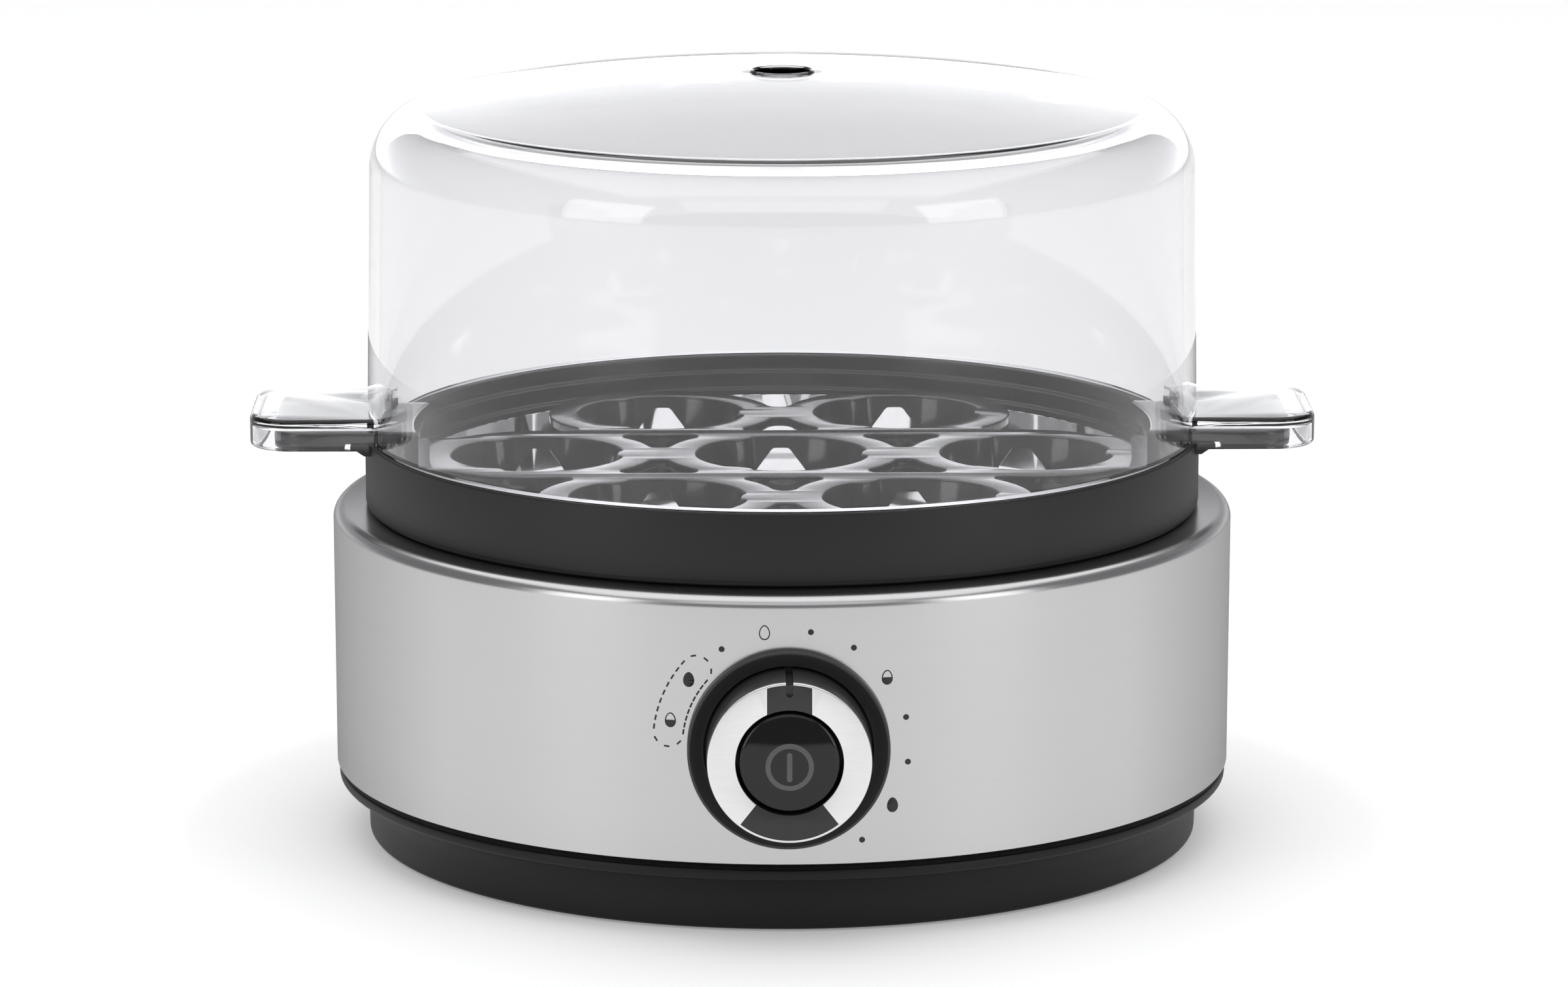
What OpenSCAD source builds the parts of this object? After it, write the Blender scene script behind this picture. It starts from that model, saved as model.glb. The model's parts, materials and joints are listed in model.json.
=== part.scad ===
// Egg cooker for seven eggs: steel body, black bowl, lift-out tray, clear lid, timer dial and button.
// Millimetres, +Z up, the dial at the front on -Y. The origin is where the body's axis meets the table.

/* [Steel shell] */
// Outer radius just under the shoulder
shell_r = 93.5; // [93:0.1:94]
// How much narrower the shell is at its lower edge
shell_draft = 0.15; // [0:0.05:0.4]
// Height of the shell's lower edge
shell_low_z = 15.6; // [15.2:0.1:16.4]
// Height of the shell's flat top
shell_top_z = 69.6; // [69:0.1:70]
// Thickness of the sheet
shell_wall = 0.8; // [0.6:0.1:1]
// Radius of the rounded shoulder
shoulder_r = 2.6; // [2:0.1:3]

/* [Bowl ring] */
// Outer radius of the black ring
rim_r = 86.7; // [86.3:0.1:87.2]
// Height of its top edge
rim_z = 84.6; // [84.4:0.1:84.8]
// Radius of the bowl under both ledges
bowl_r = 79; // [78.9:0.1:79.1]

/* [Base] */
// Radius of the foot at its top
foot_r = 87; // [86.2:0.1:88]
// Outer radius of the flange under the shell
flange_r = 92.9; // [92:0.1:93.2]
// Gap between the table and the floor of the base
floor_gap = 0.5; // [0.4:0.1:0.8]
// Direction of the mains gland, from +X towards the back
gland_angle = 65; // [55:1:70]

/* [Egg tray] */
// Radius of each egg hole
egg_r = 18.1; // [17.6:0.1:18.4]
// Distance between neighbouring egg holes
egg_pitch = 51; // [50.6:0.1:51.2]
// Height of the tray's top face
tray_z = 79.3; // [79.2:0.1:79.4]
// Thickness of the tray
tray_t = 2; // [1.6:0.1:2.2]
// Width of the black rim round each hole
egg_rim = 6.3; // [6.2:0.1:6.4]
// Half the width of the tray's handles
grip_half = 16.7; // [15:0.1:16.8]
// How far the tray's handles reach from the axis
grip_x = 105; // [102:0.5:105.5]

/* [Lid] */
// Outer radius of the lid at its lower edge
lid_r = 86.2; // [85.8:0.1:86.4]
// Outer radius where the top corner begins
lid_top_r = 85.2; // [84.5:0.1:85.6]
// Height where the top corner begins
corner_z = 140; // [138:0.5:142]
// Radius of the top corner
corner_r = 13; // [11:0.5:14]
// Height of the lid's crown
crown_z = 159.2; // [158:0.1:162]
// Thickness of the lid
lid_wall = 2.4; // [2.2:0.1:2.6]
// Radius of the steam vent
vent_r = 5.8; // [5:0.1:7]
// How far the lid's ears reach from the axis
ear_x = 110; // [109.5:0.5:112]
// Half the width of the lid's ears
ear_half = 19; // [18.8:0.1:20]
// Height of the ears' top face
ear_z = 90; // [89.8:0.1:91]
// Height of the ears' lower edge
ear_low_z = 83.3; // [83:0.1:83.6]

/* [Dial and button] */
// Height of the dial's axis
dial_z = 39.2; // [38.5:0.1:40]
// Radius of the dial
dial_r = 16.1; // [15.8:0.1:16.1]
// Distance from the body's axis to the dial's front face
dial_front = 105.2; // [104:0.1:106]
// Outer radius of the dial's surround
bezel_r = 19.9; // [19.5:0.1:20.4]
// Radius of the button in the dial
button_r = 9.9; // [9.5:0.1:10]
// Radius of the scale printed round the dial
scale_r = 23.7; // [23.2:0.1:24.2]

/* [Hidden] */

$fn = 96;
eps = 0.05;
fit = 0.05;                      // running clearance of a shaft
black = [0.09, 0.09, 0.095];
steel = [0.76, 0.76, 0.77];

// Heights and radii that several pieces share
shell_low_r = shell_r - shell_draft;
cone_top_z = shell_top_z - shoulder_r;
skirt_r = 81.4;                  // outside of the bowl ring's skirt
skirt_z = 58;                    // its lower edge
lip_r = 73.4;                    // inside of the lip that carries the heating plate
lip_z = 60.5;                    // underside of that lip
seal_z = lip_z + 1.5;
flange_z = seal_z + 1.2;         // underside of the heating plate's flange
plate_t = 0.8;
plate_floor = 53.2;              // underside of the heating plate's flat middle
liner_r = bowl_r - 0.3;          // outside of its upright rim, which lines the bowl
liner_z = 76.5;                  // top of that rim
stud_angles = [30, 150, 270];
post_angles = [90, 210, 330];
stud_r = 76.2;                   // distance of the plate's studs from the axis
post_r = 76.6;                   // distance of the screw posts from the axis
post_low_z = 17;                 // lower end of those posts
ledge_r = 82.5;                  // inside of the bowl ring over its upper ledge
ledge_z = 81.2;                  // height of that ledge
step_r = 80.6;                   // inside of the bowl ring over its lower ledge
step_z = 77.7;                   // height of that ledge
lug_half = 16.8;                 // half the width of the lips under the lid's ears
floor_top = 3;
base_flange_z = 14.3;            // top of the base's flange
collar_r = 92.3;                 // outside of the base's collar, inside the shell
spreader_t = 3.4;
spreader_low = plate_floor - spreader_t;
coil_r = 42;                     // radius of the heating element's ring
coil_z = 48.4;
terminal_angles = [105, 75];     // where the element's two ends come down
shield_z = 37.5;
shield_t = 0.6;
shield_stud_r = 50;              // distance of the studs that carry the heat shield
clip_z = 45.4;                   // underside of the thermostat's clip
clip_t = 0.8;
fuse_z = spreader_low - 2.4;
gland_z = 7.5;                   // height of the mains gland's axis
gland_bore_r = 3;
board_y = -73.4;                 // back face of the control board
board_t = 1.6;
board_x = 20.5;                  // distance of the board's screws from its middle
board_z = 26;                    // their height
block_y = 52;                    // front face of the terminal block
block_x = [-29.5, -20.5, -11.5]; // its three ways
barrel_r = 17.9;                 // the dial surround's barrel, which passes through the shell
trim_t = 0.8;                    // depth of the dial's bright ring
recess_r = button_r + 0.6;       // radius of the dial's recess for the button
neck_r = 2.4;                    // radius that rounds the notches between the egg rims
grip_t = 2.4;                    // thickness of the tray's handles
grip_rim = 1.8;                  // thickness of the rim that hangs round them
grip_corner = 7;
riser_t = 2.1;                   // thickness of the risers that carry them
ear_corner = 9;
ear_wall = 1.8;
egg_spots = concat([[0, 0]], [for (a = [0:60:300]) egg_pitch * [cos(a), sin(a)]]);

function arc(cx, cy, r, a0, a1, n) =
    [for (i = [0:n]) [cx + r * cos(a0 + (a1 - a0) * i / n), cy + r * sin(a0 + (a1 - a0) * i / n)]];
// An egg's outline, a little fuller below its middle
function egg(hw, hh) =
    [for (i = [0:23]) let (t = i * 15) [hw * sin(t) * (1 - 0.14 * cos(t)), hh * cos(t)]];
// Half the width of a tray cup's bell-shaped cut-out at a depth d under its crown
function bell(d) = 1.75 + 6.05 * pow(sin(90 * min(1, d / 10)), 1.2);

// Stands its children on the front, their +Z pointing out of the dial
module on_front() translate([0, 0, dial_z]) rotate([90, 0, 0]) children();
// Copies its children round the body's axis
module around(angles, r) for (a = angles) rotate([0, 0, a]) translate([r, 0, 0]) children();
module ring(r_out, r_in, h) difference() {
    cylinder(r = r_out, h = h);
    translate([0, 0, -eps]) cylinder(r = r_in, h = h + 2 * eps);
}
module rounded_tab(x0, x1, half, r) union() {
    translate([x0, -half]) square([x1 - r - x0, 2 * half]);
    translate([x1 - r - eps, -half + r]) square([r + eps, 2 * (half - r)]);
    for (s = [-1, 1]) translate([x1 - r, s * (half - r)]) circle(r);
}
// The shell's outer cone, grown outwards by g
module shell_cone(g) translate([0, 0, shell_low_z])
    cylinder(r1 = shell_low_r + g, r2 = shell_r + g, h = cone_top_z - shell_low_z);
// A straight round bar between two points
module bar(p, q, r) {
    v = q - p;
    len = norm(v);
    translate(p) rotate([0, acos(v[2] / len), atan2(v[1], v[0])]) cylinder(r = r, h = len, $fn = 8);
}
// Straight stretches with a ball a little thicker than the wire at each bend
module wire(points, r) {
    for (i = [1:len(points) - 1]) bar(points[i - 1], points[i], r);
    for (i = [1:len(points) - 2]) translate(points[i]) sphere(r * 1.3, $fn = 8);
}

module steel_shell() color(steel) difference() {
    rotate_extrude() polygon(concat(
        [[shell_low_r - shell_wall, shell_low_z], [shell_low_r, shell_low_z]],
        arc(shell_r - shoulder_r, cone_top_z, shoulder_r, 0, 90, 8),
        [[skirt_r + 0.4, shell_top_z], [skirt_r + 0.4, shell_top_z - shell_wall]],
        arc(shell_r - shoulder_r, cone_top_z, shoulder_r - shell_wall, 90, 0, 8)));
    on_front() cylinder(r = barrel_r + 2 * fit, h = 120);
}

module bowl_ring() color(black) {
    difference() {
        rotate_extrude() polygon(concat(
            arc(rim_r - 1.6, shell_top_z + 1.6, 1.6, -90, 0, 5),
            arc(rim_r - 0.5, rim_z - 0.5, 0.5, 0, 90, 4),
            [[ledge_r + 0.6, rim_z], [ledge_r, rim_z - 0.7], [ledge_r, ledge_z], [step_r, ledge_z],
             [step_r, step_z], [bowl_r, step_z], [bowl_r, seal_z], [lip_r, seal_z], [lip_r, lip_z],
             [bowl_r + 0.2, lip_z], [bowl_r + 0.2, skirt_z], [skirt_r, skirt_z], [skirt_r, shell_top_z]]));
        around(stud_angles, stud_r) translate([0, 0, 50]) cylinder(r = 1.6, h = 20);
    }
    // Lips under the lid's ears
    for (s = [0, 180]) rotate([0, 0, s]) difference() {
        translate([0, lug_half, 0]) rotate([90, 0, 0]) linear_extrude(2 * lug_half)
            polygon([[80, rim_z], [89, rim_z], [89, rim_z - 0.7], [86, rim_z - 2.6], [80, rim_z - 2.6]]);
        translate([0, 0, 70]) cylinder(r = 84, h = 30);
    }
    // Posts that take the screws from below
    around(post_angles, post_r) difference() {
        translate([0, 0, post_low_z]) cylinder(r = 4, h = lip_z - post_low_z + 0.5);
        translate([0, 0, post_low_z - 1]) cylinder(r = 1.6, h = 16);
    }
}

module bowl_seal() color([0.2, 0.2, 0.2]) translate([0, 0, seal_z]) difference() {
    ring(bowl_r - 0.2, lip_r + 0.3, flange_z - seal_z);
    around(stud_angles, stud_r) translate([0, 0, -1]) cylinder(r = 1.6, h = 5);
}

module heating_plate() color(steel) rotate_extrude() polygon(concat(
    [[0, plate_floor], [57, plate_floor]],
    arc(57, plate_floor + 14, 14, -90, -50, 6),
    [[72.6, flange_z], [liner_r, flange_z], [liner_r, liner_z], [liner_r - plate_t, liner_z],
     [liner_r - plate_t, flange_z + plate_t], [72.4, flange_z + plate_t]],
    arc(57, plate_floor + 14, 14 - plate_t, -50, -90, 6),
    [[0, plate_floor + plate_t]]));

module plate_studs() color(steel) around(stud_angles, stud_r)
    translate([0, 0, 56.5]) cylinder(r = 1.5, h = flange_z - 56.5);

module plate_nuts() color("gray") around(stud_angles, stud_r) translate([0, 0, lip_z - 2.4]) difference() {
    cylinder(r = 2.6, h = 2.4, $fn = 6);
    translate([0, 0, -1]) cylinder(r = 1.5, h = 5);
}

module spreader_plate() color([0.7, 0.7, 0.72]) {
    difference() {
        translate([0, 0, spreader_low]) cylinder(r = 55, h = spreader_t);
        translate([0, 0, coil_z]) rotate_extrude() translate([coil_r, 0]) circle(3.35, $fn = 32);
    }
    around(stud_angles, shield_stud_r) translate([0, 0, 33]) cylinder(r = 2, h = spreader_low - 33 + 0.2);
}

module heating_element() color([0.5, 0.5, 0.52]) {
    translate([0, 0, coil_z]) rotate([0, 0, 105]) rotate_extrude(angle = 330)
        translate([coil_r, 0]) circle(3.25, $fn = 32);
    for (a = terminal_angles) rotate([0, 0, a]) translate([coil_r, 0, 35]) cylinder(r = 3.6, h = coil_z - 34);
}

module element_terminals() color("silver") around(terminal_angles, coil_r) {
    translate([0, 0, 32]) cylinder(r = 1.2, h = 3);
    translate([-0.4, -3.15, 24]) cube([0.8, 6.3, 8.2]);
}

module thermostat() color([0.16, 0.15, 0.14]) {
    translate([0, 0, 39.6]) cylinder(r = 8, h = 7);
    translate([0, 0, 46.6]) cylinder(r = 9.5, h = spreader_low - 46.6);
    for (s = [-1, 1]) translate([s * 5 - 0.4, -2.4, 33]) cube([0.8, 4.8, 6.8]);
}

module thermostat_clip() color(steel) difference() {
    union() {
        translate([-22, -4, clip_z]) cube([44, 8, clip_t]);
        translate([0, 0, clip_z]) cylinder(r = 12, h = clip_t);
        for (s = [-1, 1]) translate([s * 21.2 - 0.8, -4, clip_z]) cube([1.6, 8, spreader_low - clip_z]);
    }
    translate([0, 0, 40]) cylinder(r = 8.05, h = 20);
}

module thermal_fuse() color("white") {
    translate([-7, 20, fuse_z]) rotate([0, 90, 0]) cylinder(r = 2.2, h = 14);
    translate([-14, 20, fuse_z]) rotate([0, 90, 0]) cylinder(r = 0.5, h = 7.5);
    translate([6.5, 20, fuse_z]) rotate([0, 90, 0]) cylinder(r = 0.5, h = 7.5);
}

module heat_shield() color(steel) difference() {
    rotate_extrude() polygon([[0, shield_z], [58, shield_z], [61, shield_z + 8], [60.4, shield_z + 8.2],
                              [57.5, shield_z + shield_t], [0, shield_z + shield_t]]);
    around(stud_angles, shield_stud_r) translate([0, 0, 30]) cylinder(r = 2.2, h = 20);
    for (a = terminal_angles) rotate([0, 0, a]) translate([coil_r, 0, 30]) cylinder(r = 5, h = 20);
    translate([0, 0, 30]) cylinder(r = 12, h = 20);
}

module shield_nuts() color("gray") around(stud_angles, shield_stud_r) difference() {
    translate([0, 0, shield_z - 3]) cylinder(r = 4, h = 3, $fn = 6);
    translate([0, 0, shield_z - 4]) cylinder(r = 2, h = 5);
}

module base_housing() color(black) difference() {
    union() {
        rotate_extrude() polygon(concat(
            [[0, floor_gap]],
            arc(foot_r - 1.1, floor_gap + 0.8, 0.8, -90, 0, 5),
            [[foot_r, base_flange_z - 2.6], [flange_r - 0.8, base_flange_z - 2.1]],
            arc(flange_r - 0.7, base_flange_z - 1.4, 0.7, -90, 0, 4),
            arc(flange_r - 0.3, base_flange_z - 0.3, 0.3, 0, 90, 2),
            [[collar_r, base_flange_z], [collar_r, 24], [collar_r - 1.7, 24], [collar_r - 1.7, 16.4],
             [84, 16.4], [83, floor_top], [0, floor_top]]));
        around(post_angles, post_r) translate([0, 0, floor_top - 0.5]) cylinder(r = 4, h = 14.5);
        for (s = [-1, 1]) translate([s * board_x - 3.5, board_y, floor_top - 0.5]) cube([7, 7, 27]);
    }
    around(post_angles, post_r) {
        translate([0, 0, -1]) cylinder(r = 3.2, h = 12);
        translate([0, 0, 5]) cylinder(r = 1.9, h = 20);
    }
    translate([0, 0, floor_gap - 1]) ring(72.3, 65.7, 2);
    for (s = [-1, 1]) translate([s * board_x, board_y - 1, board_z]) rotate([-90, 0, 0])
        cylinder(r = 1.1, h = 6.2);
    rotate([0, 0, gland_angle]) translate([75, 0, gland_z]) rotate([0, 90, 0]) cylinder(r = 4.4, h = 20);
    // Room for the dial surround's barrel
    on_front() translate([0, 0, 80]) cylinder(r = barrel_r + 0.4, h = 20);
}

module foot_ring() color([0.13, 0.13, 0.13]) ring(72.2, 65.8, floor_gap + 1);

module body_screws() color("silver") around(post_angles, post_r) {
    translate([0, 0, 8.4]) cylinder(r = 3, h = 2.6);
    translate([0, 0, 10.5]) cylinder(r = 1.55, h = 20);
}

module cord_gland() color(black) rotate([0, 0, gland_angle]) translate([0, 0, gland_z]) rotate([0, 90, 0])
    difference() {
        union() {
            translate([0, 0, 80.5]) cylinder(r = 4.35, h = 7);
            // The outer flange is flat on top, where it passes under the base's flange
            intersection() {
                translate([0, 0, foot_r]) cylinder(r = 5.6, h = 1.8);
                translate([-4, -10, foot_r - 1]) cube([20, 20, 4]);
            }
        }
        translate([0, 0, 70]) cylinder(r = gland_bore_r, h = 30);
    }

module terminal_block() color("white") difference() {
    translate([-34, block_y, floor_top]) cube([27, 13, 11]);
    for (x = block_x) translate([x, block_y, floor_top]) {
        translate([0, -1, 4]) rotate([-90, 0, 0]) cylinder(r = 1.6, h = 15);
        translate([0, 6.5, 6]) cylinder(r = 1.8, h = 6);
    }
}

module lead_wires() color("firebrick") {
    wire([[-11, block_y - 1.2, 12], [-11, 45, 18], [-10.87, coil_r - 1.5, 23.4]], 1);
    wire([[block_x[1], block_y - 2.2, 7], [-20.5, 30, 8], [-16, -40, 8], [-14, -68, 32]], 1);
    wire([[block_x[0], block_y - 2.2, 7], [-32, 20, 7.5], [-24, -40, 8], [-22, -66, 34]], 1);
    wire([[10.87, coil_r - 1.5, 23.4], [16, 10, 14], [18, -40, 12], [14, -68, 34]], 1);
}

module control_board() color([0.1, 0.35, 0.2]) difference() {
    translate([-26, board_y - board_t, 22]) cube([52, board_t, 34]);
    translate([0, 0, dial_z]) rotate([90, 0, 0]) translate([0, 0, 60]) cylinder(r = 2.2, h = 30);
    for (s = [-1, 1]) translate([s * board_x, -90, board_z]) rotate([-90, 0, 0]) cylinder(r = 1.4, h = 30);
}

module board_screws() color("silver") for (s = [-1, 1]) translate([s * board_x, 0, board_z])
    rotate([-90, 0, 0]) {
    translate([0, 0, board_y - board_t - 1.8]) cylinder(r = 2.4, h = 1.8);
    translate([0, 0, board_y - board_t - 0.2]) cylinder(r = 1.05, h = 6.5);
}

module timer_pot() color([0.25, 0.3, 0.45]) on_front() difference() {
    union() {
        translate([0, 0, board_t - board_y]) cylinder(r = 10, h = 9);
        translate([0, 0, 83.5]) cylinder(r = 6, h = 8.1);
    }
    translate([0, 0, 70]) cylinder(r = 3 + fit, h = 30);
}

module pot_nut() color("silver") on_front() translate([0, 0, 90]) difference() {
    cylinder(r = 8, h = 1.6, $fn = 6);
    translate([0, 0, -1]) cylinder(r = 6, h = 5);
}

module power_switch() color([0.2, 0.2, 0.22]) on_front() difference() {
    translate([-6.5, -6.5, 61.6]) cube([13, 13, -board_y - 61.6]);
    translate([0, 0, 62.9]) cylinder(r = 1.7, h = 20);
}

module buzzer() color(black) translate([17, board_y, 46]) rotate([-90, 0, 0]) difference() {
    cylinder(r = 6, h = 7);
    translate([0, 0, 3]) cylinder(r = 1, h = 10);
}

module dial_bezel() color([0.2, 0.2, 0.2]) difference() {
    on_front() rotate_extrude() polygon([
        [6.1, 87.5], [barrel_r, 87.5], [barrel_r, 89], [bezel_r, 89], [bezel_r, 95.1], [bezel_r - 0.5, 95.7],
        [bezel_r - 1.1, 95.4], [16.9, 94.2], [16.5, 93.8], [16.5, 90], [6.1, 90]]);
    // The flange's back follows the shell's cone, and the barrel passes through the hole
    difference() {
        shell_cone(fit);
        on_front() cylinder(r = barrel_r, h = 120);
    }
}

// Printed marks: a stroke thickness above the shell, cut to the outline of its children
module printed() color([0.12, 0.12, 0.12]) intersection() {
    difference() {
        shell_cone(0.06);
        shell_cone(0);
    }
    on_front() translate([0, 0, 60]) linear_extrude(40) children();
}
module egg_mark(filling) {
    difference() {
        polygon(egg(1.08, 1.5));
        polygon(egg(0.86, 1.27));
    }
    if (filling > 0) intersection() {
        polygon(egg(1, 1.4));
        translate([-2, -2]) square([4, filling == 1 ? 4 : 2]);
    }
}
// A dashed frame round the first two eggs of the scale: arcs outside and inside, and two round ends
module dashes() {
    mid = -66.5;
    half = 17;
    band = 2.9;
    for (side = [-1, 1], i = [-4:4]) rotate(-(mid + i * 3.9)) translate([0, scale_r + side * band])
        square([1.05, 0.34], center = true);
    for (s = [-1, 1], i = [-1:1]) rotate(-(mid + s * half)) translate([0, scale_r])
        rotate(-s * 90 + i * 52) translate([0, band]) square([1.05, 0.34], center = true);
}
module dial_marks() printed() {
    kinds = [0.5, 1, -1, 0, -1, -1, 0.5, -1, -1, 1, -1];     // -1 is a dot, the rest an egg's filling
    for (k = [0:len(kinds) - 1]) let (a = -77.5 + 22 * k) translate(scale_r * [sin(a), cos(a)]) {
        if (kinds[k] < 0) circle(0.58, $fn = 24);
        else egg_mark(kinds[k]);
    }
    dashes();
}

module tray_web() offset(r = -neck_r, $fn = 24) offset(r = neck_r, $fn = 24)
    for (p = egg_spots) translate(p) circle(egg_r + egg_rim, $fn = 60);
module tray_cup() {
    cup_h = 14;
    difference() {
        translate([0, 0, tray_z - cup_h]) cylinder(r1 = egg_r - 1.4, r2 = egg_r + 1.4, h = cup_h - 0.5);
        translate([0, 0, tray_z - cup_h - eps]) cylinder(r1 = egg_r - 2.7, r2 = egg_r, h = cup_h + eps);
        for (a = [90, 210, 330]) rotate([0, 0, a]) translate([0, 0, tray_z - 2.3]) rotate([90, 0, 90])
            linear_extrude(30) polygon(concat(
                [for (d = [0:2:12]) [bell(d), -d]],
                [for (d = [12:-2:0]) [-bell(d), -d]]));
    }
    // Ribs that grip the egg
    for (a = [0, 120, 240]) rotate([0, 0, a]) translate([0, 0, tray_z - cup_h]) difference() {
        intersection() {
            translate([egg_r - 4.4, -2.5, 0]) cube([6, 5, cup_h]);
            cylinder(r1 = egg_r - 2.2, r2 = egg_r + 0.5, h = cup_h);
        }
        translate([0, 0, -eps]) cylinder(r1 = egg_r - 4, r2 = egg_r - 1.3, h = cup_h + 2 * eps);
    }
}
module tray_handle() {
    // The web runs out to the riser, which stands just inside the bowl
    intersection() {
        translate([66, -grip_half, tray_z - tray_t])
            cube([20, 2 * grip_half, rim_z + grip_t - tray_z + tray_t]);
        union() {
            translate([0, 0, tray_z - tray_t]) cylinder(r = bowl_r - 0.4, h = tray_t);
            translate([0, 0, tray_z - tray_t]) ring(bowl_r - 0.4, bowl_r - 0.4 - riser_t, 20);
        }
    }
    difference() {
        translate([0, 0, rim_z]) linear_extrude(grip_t) rounded_tab(60, grip_x, grip_half, grip_corner);
        translate([0, 0, rim_z - 1]) cylinder(r = bowl_r - 0.4 - riser_t, h = 5);
    }
    // A rim hangs down round the handle outside the bowl's lip
    translate([0, 0, rim_z - 1.1]) linear_extrude(1.4) difference() {
        rounded_tab(90, grip_x, grip_half, grip_corner);
        rounded_tab(90 + grip_rim, grip_x - grip_rim, grip_half - grip_rim, grip_corner - grip_rim);
    }
}
module egg_tray() color(black) {
    difference() {
        translate([0, 0, tray_z - tray_t]) linear_extrude(tray_t) tray_web();
        for (p = egg_spots) translate([p[0], p[1], 70]) cylinder(r = egg_r, h = 20);
    }
    difference() {
        for (s = [0, 180]) rotate([0, 0, s]) tray_handle();
        for (s = [-1, 1]) translate([s * egg_pitch, 0, 70]) cylinder(r = egg_r, h = 12);
    }
    for (p = egg_spots) translate([p[0], p[1], 0]) tray_cup();
}

// The lid's section: wall, corner arc and a crown that continues it, set in by t
dome_a = lid_top_r - corner_r;
dome_h = crown_z - corner_z;
dome_r = (dome_a * dome_a + dome_h * dome_h - corner_r * corner_r) / (2 * (dome_h - corner_r));
dome_tilt = atan2(dome_a, dome_r - dome_h);
function lid_line(t, foot) = concat(
    [[foot, rim_z]],
    arc(dome_a, corner_z, corner_r - t, 0, 90 - dome_tilt, 10),
    arc(0, crown_z - dome_r, dome_r - t, 90 - dome_tilt, 90 - asin(vent_r / dome_r), 10));
function backwards(points) = [for (i = [len(points) - 1:-1:0]) points[i]];
module lid() color([0.85, 0.88, 0.92, 0.35]) difference() {
    union() {
        rotate_extrude() polygon(concat(lid_line(0, lid_r), backwards(lid_line(lid_wall, lid_r - lid_wall))));
        // A raised collar round the vent
        translate([0, 0, crown_z - lid_wall]) ring(vent_r + 1.6, vent_r, lid_wall + 0.5);
        for (s = [0, 180]) rotate([0, 0, s]) difference() {
            translate([0, 0, ear_low_z]) linear_extrude(ear_z - ear_low_z)
                rounded_tab(80, ear_x, ear_half, ear_corner);
            translate([0, 0, 80]) cylinder(r = lid_r - 1.6, h = 20);
            translate([0, 0, 80]) cylinder(r = rim_r + 0.5, h = rim_z - 80);
        }
    }
    for (s = [0, 180]) rotate([0, 0, s]) translate([0, 0, ear_low_z - 1])
        linear_extrude(ear_z - ear_low_z - 1)
            rounded_tab(70, ear_x - ear_wall, ear_half - ear_wall, ear_corner - ear_wall);
}

// The pointer: a slot down the dial's side and a little way into its face
module pointer_slot() {
    translate([-0.72, dial_r - 2.3, dial_front - 1]) cube([1.44, 5, 3]);
    translate([0, dial_r - 2.3, dial_front - 1]) cylinder(r = 0.72, h = 3, $fn = 32);
    translate([-0.72, dial_r - 0.8, 93]) cube([1.44, 3, 20]);
}
module dial_body() color(black) on_front() difference() {
    rotate_extrude() polygon([
        [3, 92.5], [dial_r + 0.1, 92.5], [dial_r + 0.1, 98.8], [dial_r, 99],
        [dial_r, dial_front - trim_t - 0.1], [dial_r - 0.1, dial_front - trim_t],
        [recess_r, dial_front - trim_t], [recess_r, 96], [3, 96]]);
    pointer_slot();
}
module inlay_outline(grow) intersection() {
    difference() {
        circle(dial_r - 0.6 + grow);
        circle(recess_r - grow);
    }
    union() {
        translate([-4.35, 0]) square([8.7, 20]);
        polygon([[0, 0], 30 * [sin(142), cos(142)], [0, -40], 30 * [-sin(142), cos(142)]]);
    }
}
module dial_trim() color("silver") on_front() difference() {
    rotate_extrude() polygon([
        [recess_r, dial_front - trim_t], [dial_r - 0.1, dial_front - trim_t],
        [dial_r - 0.1, dial_front - 0.25], [dial_r - 0.35, dial_front],
        [recess_r + 0.1, dial_front], [recess_r, dial_front - 0.1]]);
    translate([0, 0, dial_front - 2]) linear_extrude(4) inlay_outline(0.02);
    pointer_slot();
}
module dial_inlays() color([0.05, 0.05, 0.05]) on_front() difference() {
    translate([0, 0, dial_front - trim_t]) linear_extrude(trim_t - eps) inlay_outline(0);
    pointer_slot();
}
module dial_shaft() color("silver") on_front() translate([0, 0, 78]) ring(3, 1.8, 18);

// The button's domed front
dome_rise = 1.5;
button_front = dial_front + 1.1;
cap_r = (button_r * button_r + dome_rise * dome_rise) / (2 * dome_rise);
module button_dome(g) translate([0, 0, button_front - cap_r]) sphere(cap_r + g, $fn = 128);
module button_cap() color([0.04, 0.04, 0.04]) on_front() intersection() {
    button_dome(0);
    translate([0, 0, 99]) cylinder(r = button_r, h = 10);
    translate([0, 0, 99]) cylinder(r1 = button_r + 5.4, r2 = button_r - 3.1, h = 8.5);
}
module button_symbol() color([0.35, 0.35, 0.35]) on_front() intersection() {
    difference() {
        button_dome(0.05);
        button_dome(0);
    }
    translate([0, -0.6, 100]) linear_extrude(10) {
        difference() {
            circle(4.7);
            circle(3.72);
        }
        translate([-0.52, -2.4]) square([1.04, 4.8]);
        for (s = [-1, 1]) translate([0, s * 2.4]) circle(0.52, $fn = 24);
    }
}
module button_stem() color("white") on_front() translate([0, 0, 74]) cylinder(r = 1.5, h = 25);
module switch_plunger() color("ivory") on_front() translate([0, 0, 66]) cylinder(r = 1.4, h = 8);

steel_shell();
bowl_ring();
bowl_seal();
heating_plate();
plate_studs();
plate_nuts();
spreader_plate();
heating_element();
element_terminals();
thermostat();
thermostat_clip();
thermal_fuse();
heat_shield();
shield_nuts();
base_housing();
foot_ring();
body_screws();
cord_gland();
terminal_block();
lead_wires();
control_board();
board_screws();
timer_pot();
pot_nut();
power_switch();
buzzer();
dial_bezel();
dial_marks();
egg_tray();
lid();
dial_body();
dial_trim();
dial_inlays();
dial_shaft();
button_cap();
button_symbol();
button_stem();
switch_plunger();
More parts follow.
